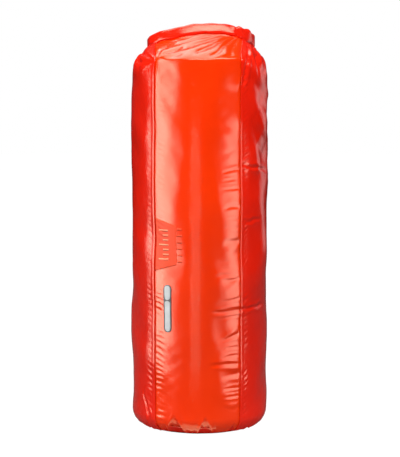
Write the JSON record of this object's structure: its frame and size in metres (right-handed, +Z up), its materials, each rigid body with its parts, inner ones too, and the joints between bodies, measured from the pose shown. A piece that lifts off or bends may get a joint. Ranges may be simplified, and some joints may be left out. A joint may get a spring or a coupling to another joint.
{
  "type": "dry bag",
  "caption": "Tall cylindrical roll-top waterproof bag with a lapped front panel, its rolled mouth bent into a carry loop and closed by a side-release buckle.",
  "frame": {"origin": "on the floor, at the middle of the base", "axes": "+Z up along the bag, -Y towards the orange front panel, +X to the right seen from the front"},
  "size_m": [0.213, 0.2114, 0.6368],
  "materials": {
    "orange_fabric": "glossy coated fabric",
    "red_fabric": "glossy coated fabric",
    "dark_orange": "satin print",
    "silver": "satin film",
    "white_plastic": "matte",
    "black_webbing": "woven",
    "black_plastic": "moulded, fine grain",
    "steel": "polished"
  },
  "bodies": {
    "bag": {"front_panel": "orange_fabric", "back_panel": "red_fabric", "base_panel": "red_fabric", "volume_mark": "dark_orange", "badge": "silver"},
    "closure": {"rolled_mouth": "red_fabric", "stiffener_strip": "white_plastic", "left_tab": "black_webbing", "right_tab": "black_webbing", "left_rivet": "steel", "right_rivet": "steel", "buckle_socket": "black_plastic"},
    "plug": {"buckle_plug": "black_plastic"},
    "upper_arm": {"upper_latch_arm": "black_plastic"},
    "lower_arm": {"lower_latch_arm": "black_plastic"}
  },
  "joints": [
    {"name": "loop_lift", "type": "hinge", "parent": "bag", "child": "closure", "pos_m": [-0.00108, -0.01296, 0.62639], "axis": [1, 0, 0], "range_deg": [0, 50]},
    {"name": "plug_release", "type": "slide", "parent": "closure", "child": "plug", "axis": [1, 0, 0], "range_m": [0, 0.018], "deforming": ["right_tab", "upper_latch_arm", "lower_latch_arm"]},
    {"name": "upper_arm_squeeze", "type": "hinge", "parent": "plug", "child": "upper_arm", "pos_m": [-0.00277, 0.07915, 0.6077], "axis": [0, -1, 0], "range_deg": [0, 13], "stiffness_Nm_per_rad": 0.3},
    {"name": "lower_arm_squeeze", "type": "hinge", "parent": "plug", "child": "lower_arm", "pos_m": [-0.00277, 0.07915, 0.5923], "axis": [0, 1, 0], "range_deg": [0, 13], "stiffness_Nm_per_rad": 0.3}
  ]
}
